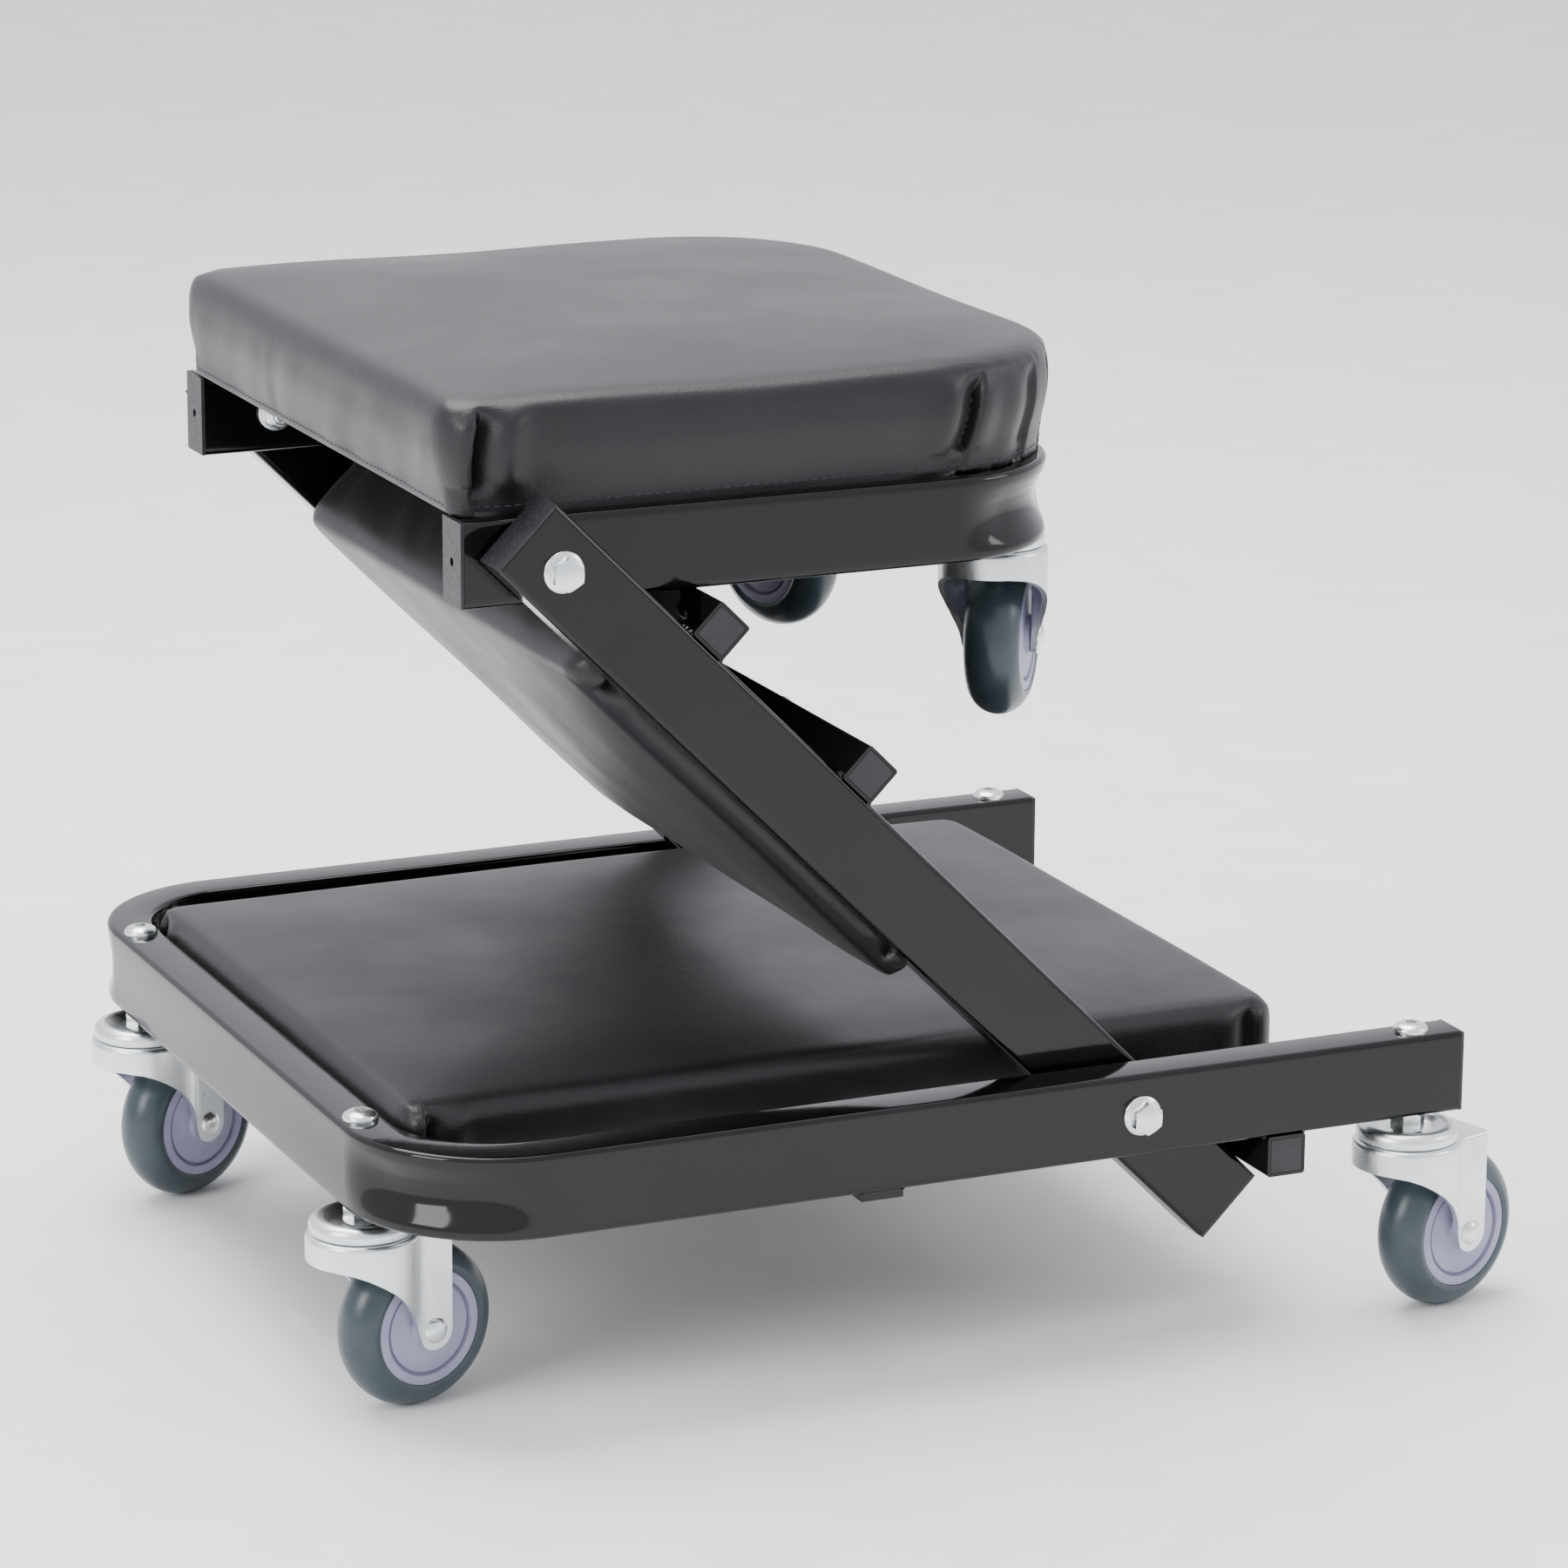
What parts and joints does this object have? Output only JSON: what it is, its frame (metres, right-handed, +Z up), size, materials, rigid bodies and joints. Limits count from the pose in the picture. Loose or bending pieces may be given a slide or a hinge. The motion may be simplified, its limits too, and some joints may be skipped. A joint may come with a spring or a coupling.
{
  "type": "folding mechanics creeper",
  "caption": "Folding workshop creeper, folded up as a low rolling seat: bent tube frames, padded boards, swing arms and swivel casters.",
  "frame": {"origin": "on the floor, under the middle of the bounding box of the whole folded creeper", "axes": "+X from the closed end of the lower frame to its open end, +Y to the left of a person looking along +X, +Z up"},
  "size_m": [0.5724, 0.49, 0.4539],
  "materials": {
    "black_powder_coat": "gloss",
    "dull_black_ends": "matt",
    "plywood": "dark stain",
    "black_vinyl": "satin",
    "zinc_hardware": "bright zinc",
    "zinc_pressing": "dull zinc",
    "steel_balls": "polished",
    "grey_hub": "satin",
    "grey_tyre": "satin"
  },
  "bodies": {
    "base": {"lower_frame": "black_powder_coat", "lower_rail_end_plates": "dull_black_ends", "lower_cross_tube": "black_powder_coat", "lower_cross_tube_caps": "dull_black_ends", "lower_support_strap": "black_powder_coat", "back_board": "plywood", "back_cushion": "black_vinyl", "back_board_screws": "zinc_hardware", "lower_hinge_bolts": "zinc_hardware", "lower_hinge_washers": "zinc_hardware", "lower_hinge_lock_nuts": "zinc_hardware", "lower_caster_race_caps": "zinc_pressing", "lower_caster_stem_nuts": "zinc_hardware", "lower_caster_screws": "zinc_hardware", "lower_caster_balls": "steel_balls"},
    "arms": {"right_arm": "black_powder_coat", "left_arm": "black_powder_coat", "arm_end_plates": "dull_black_ends", "arm_upper_cross_tube": "black_powder_coat", "arm_middle_cross_tube": "black_powder_coat", "arm_cross_tube_caps": "dull_black_ends", "middle_board": "plywood", "middle_cushion": "black_vinyl", "middle_board_screws": "zinc_hardware", "seat_hinge_bolts": "zinc_hardware", "seat_hinge_washers": "zinc_hardware", "seat_hinge_lock_nuts": "zinc_hardware"},
    "seat": {"seat_frame": "black_powder_coat", "seat_rail_end_plates": "dull_black_ends", "seat_board": "plywood", "seat_cushion": "black_vinyl", "seat_board_screws": "zinc_hardware", "seat_caster_race_caps": "zinc_pressing", "seat_caster_stem_nuts": "zinc_hardware", "seat_caster_screws": "zinc_hardware", "seat_caster_balls": "steel_balls"},
    "back_right_swivel": {"back_right_caster_fork": "zinc_pressing", "back_right_caster_axle": "zinc_hardware"},
    "back_right_wheel": {"back_right_caster_hub": "grey_hub", "back_right_caster_tyre": "grey_tyre"},
    "back_left_swivel": {"back_left_caster_fork": "zinc_pressing", "back_left_caster_axle": "zinc_hardware"},
    "back_left_wheel": {"back_left_caster_hub": "grey_hub", "back_left_caster_tyre": "grey_tyre"},
    "middle_right_swivel": {"middle_right_caster_fork": "zinc_pressing", "middle_right_caster_axle": "zinc_hardware"},
    "middle_right_wheel": {"middle_right_caster_hub": "grey_hub", "middle_right_caster_tyre": "grey_tyre"},
    "middle_left_swivel": {"middle_left_caster_fork": "zinc_pressing", "middle_left_caster_axle": "zinc_hardware"},
    "middle_left_wheel": {"middle_left_caster_hub": "grey_hub", "middle_left_caster_tyre": "grey_tyre"},
    "head_right_swivel": {"head_right_caster_fork": "zinc_pressing", "head_right_caster_axle": "zinc_hardware"},
    "head_right_wheel": {"head_right_caster_hub": "grey_hub", "head_right_caster_tyre": "grey_tyre"},
    "head_left_swivel": {"head_left_caster_fork": "zinc_pressing", "head_left_caster_axle": "zinc_hardware"},
    "head_left_wheel": {"head_left_caster_hub": "grey_hub", "head_left_caster_tyre": "grey_tyre"}
  },
  "joints": [
    {"name": "arm_fold", "type": "hinge", "parent": "base", "child": "arms", "pos_m": [0.08031, 0, 0.118], "axis": [0, 1, 0], "range_deg": [0, 135]},
    {"name": "seat_fold", "type": "hinge", "parent": "arms", "child": "seat", "pos_m": [-0.18662, 0, 0.38493], "axis": [0, -1, 0], "range_deg": [0, 135]},
    {"name": "back_right_swivel_turn", "type": "hinge", "parent": "base", "child": "back_right_swivel", "pos_m": [-0.26119, -0.153, 0.099], "axis": [0, 0, 1], "continuous": true},
    {"name": "back_right_wheel_spin", "type": "hinge", "parent": "back_right_swivel", "child": "back_right_wheel", "pos_m": [-0.23511, -0.14601, 0.038], "axis": [-0.2588, 0.9659, 0], "continuous": true},
    {"name": "back_left_swivel_turn", "type": "hinge", "parent": "base", "child": "back_left_swivel", "pos_m": [-0.26119, 0.153, 0.099], "axis": [0, 0, 1], "continuous": true},
    {"name": "back_left_wheel_spin", "type": "hinge", "parent": "back_left_swivel", "child": "back_left_wheel", "pos_m": [-0.23672, 0.16441, 0.038], "axis": [-0.4226, 0.9063, 0], "continuous": true},
    {"name": "middle_right_swivel_turn", "type": "hinge", "parent": "base", "child": "middle_right_swivel", "pos_m": [0.22331, -0.22, 0.099], "axis": [0, 0, 1], "continuous": true},
    {"name": "middle_right_wheel_spin", "type": "hinge", "parent": "middle_right_swivel", "child": "middle_right_wheel", "pos_m": [0.2492, -0.21233, 0.038], "axis": [-0.284, 0.9588, 0], "continuous": true},
    {"name": "middle_left_swivel_turn", "type": "hinge", "parent": "base", "child": "middle_left_swivel", "pos_m": [0.22331, 0.22, 0.099], "axis": [0, 0, 1], "continuous": true},
    {"name": "middle_left_wheel_spin", "type": "hinge", "parent": "middle_left_swivel", "child": "middle_left_wheel", "pos_m": [0.2492, 0.21233, 0.038], "axis": [0.284, 0.9588, 0], "continuous": true},
    {"name": "head_right_swivel_turn", "type": "hinge", "parent": "seat", "child": "head_right_swivel", "pos_m": [0.06738, -0.098, 0.36593], "axis": [0, 0, 1], "continuous": true},
    {"name": "head_right_wheel_spin", "type": "hinge", "parent": "head_right_swivel", "child": "head_right_wheel", "pos_m": [0.08325, -0.07616, 0.30493], "axis": [-0.809, 0.5878, 0], "continuous": true},
    {"name": "head_left_swivel_turn", "type": "hinge", "parent": "seat", "child": "head_left_swivel", "pos_m": [0.06738, 0.098, 0.36593], "axis": [0, 0, 1], "continuous": true},
    {"name": "head_left_wheel_spin", "type": "hinge", "parent": "head_left_swivel", "child": "head_left_wheel", "pos_m": [0.05948, 0.12382, 0.30493], "axis": [-0.9563, -0.2924, 0], "continuous": true}
  ]
}
